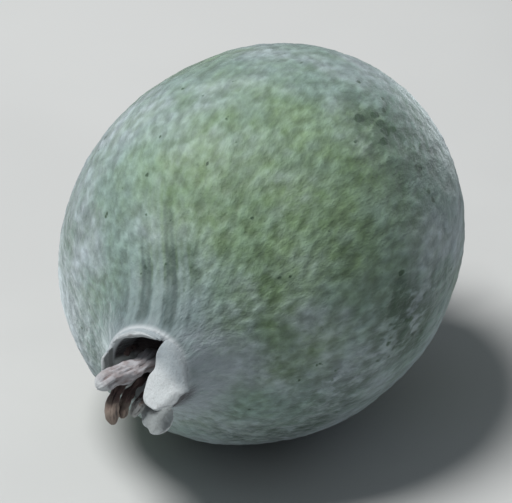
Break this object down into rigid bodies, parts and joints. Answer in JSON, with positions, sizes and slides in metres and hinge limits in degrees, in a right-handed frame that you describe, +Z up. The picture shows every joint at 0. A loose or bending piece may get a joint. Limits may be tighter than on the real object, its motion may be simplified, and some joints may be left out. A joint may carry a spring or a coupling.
{
  "type": "feijoa fruit",
  "caption": "Whole egg-shaped green fruit with a bloomed skin, lying on its side, with its sepals, dried flower parts and a short stub of stalk.",
  "frame": {"origin": "on the flat spot that the fruit lies on, below the fruit's own axis", "axes": "+Z up, +Y along the fruit's axis from the calyx to the stalk, +X to the right seen from the calyx end"},
  "size_m": [0.0504, 0.0782, 0.0491],
  "materials": {
    "skin": "dull green skin with a pale grey-blue bloom, finely pebbled",
    "sepal_felt": "white felt outside, brownish inside",
    "dried_style": "dry and pale, browner at its tip",
    "dried_stamens": "dry, red-brown, with paler tips",
    "stalk_bark": "thin grey-brown bark with a cut end"
  },
  "bodies": {
    "root": {"fruit_body": "skin", "stalk_stub": "stalk_bark", "sepal_right": "sepal_felt", "sepal_upper": "sepal_felt", "sepal_left": "sepal_felt", "sepal_lower": "sepal_felt", "dried_style": "dried_style", "dried_stamen_1": "dried_stamens", "dried_stamen_2": "dried_stamens", "dried_stamen_3": "dried_stamens", "dried_stamen_4": "dried_stamens", "dried_stamen_5": "dried_stamens"}
  },
  "joints": []
}
